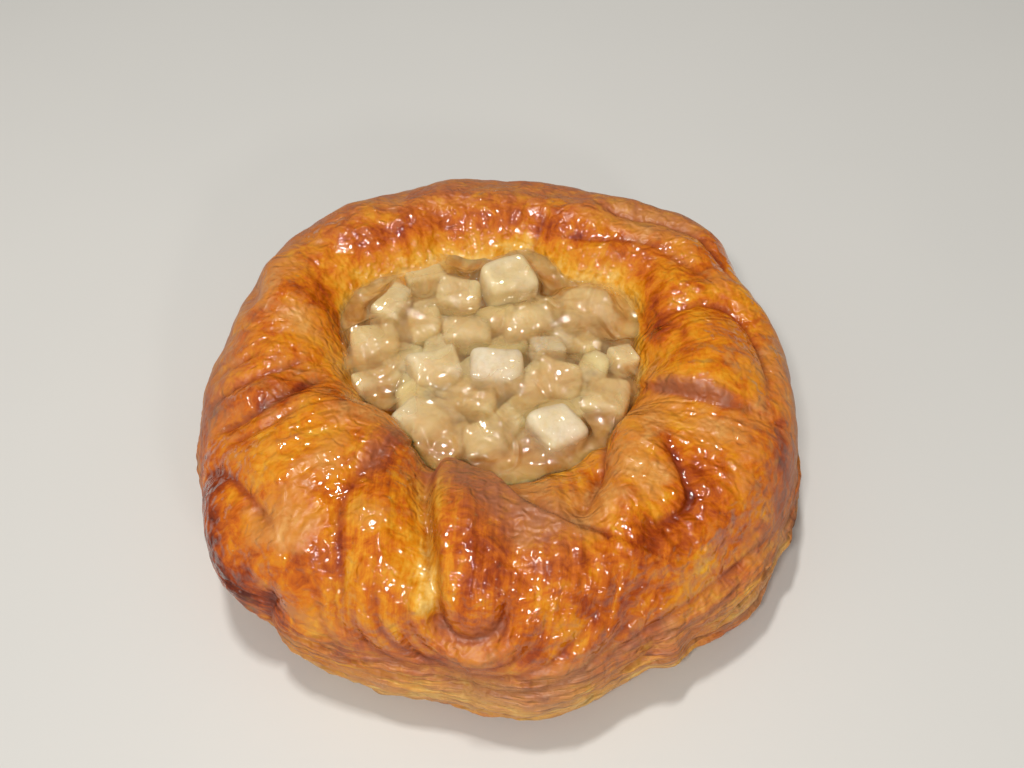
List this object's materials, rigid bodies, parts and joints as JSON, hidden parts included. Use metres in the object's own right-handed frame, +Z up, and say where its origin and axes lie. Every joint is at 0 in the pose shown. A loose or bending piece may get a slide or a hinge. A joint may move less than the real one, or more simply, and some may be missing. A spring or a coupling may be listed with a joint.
{
  "type": "vatrushka",
  "caption": "Round open pastry of glazed laminated dough, its sheet folded up into an uneven rim round a well of diced fruit set in amber jelly.",
  "frame": {"origin": "middle of the flat underside, on the surface that the pastry stands on", "axes": "+Z up out of the well, -Y towards the front, where the corner of the sheet folds in over the filling, +X to the right seen from the front"},
  "size_m": [0.1219, 0.1262, 0.0381],
  "materials": {
    "crust": "golden brown baked crust under a thin uneven sugar glaze, dull in places",
    "jelly": "clear amber jelly with a wet gloss",
    "fruit": "soft pale yellow cooked fruit, slightly see-through, wet"
  },
  "bodies": {
    "root": {"dough": "crust", "jelly": "jelly", "fruit_die_01": "fruit", "fruit_die_02": "fruit", "fruit_die_03": "fruit", "fruit_die_04": "fruit", "fruit_die_05": "fruit", "fruit_die_06": "fruit", "fruit_die_07": "fruit", "fruit_die_08": "fruit", "fruit_die_09": "fruit", "fruit_die_10": "fruit", "fruit_die_11": "fruit", "fruit_die_12": "fruit", "fruit_die_13": "fruit", "fruit_die_14": "fruit", "fruit_die_15": "fruit", "fruit_die_16": "fruit", "fruit_die_17": "fruit", "fruit_die_18": "fruit", "fruit_die_19": "fruit", "fruit_die_20": "fruit", "fruit_die_21": "fruit"}
  },
  "joints": []
}
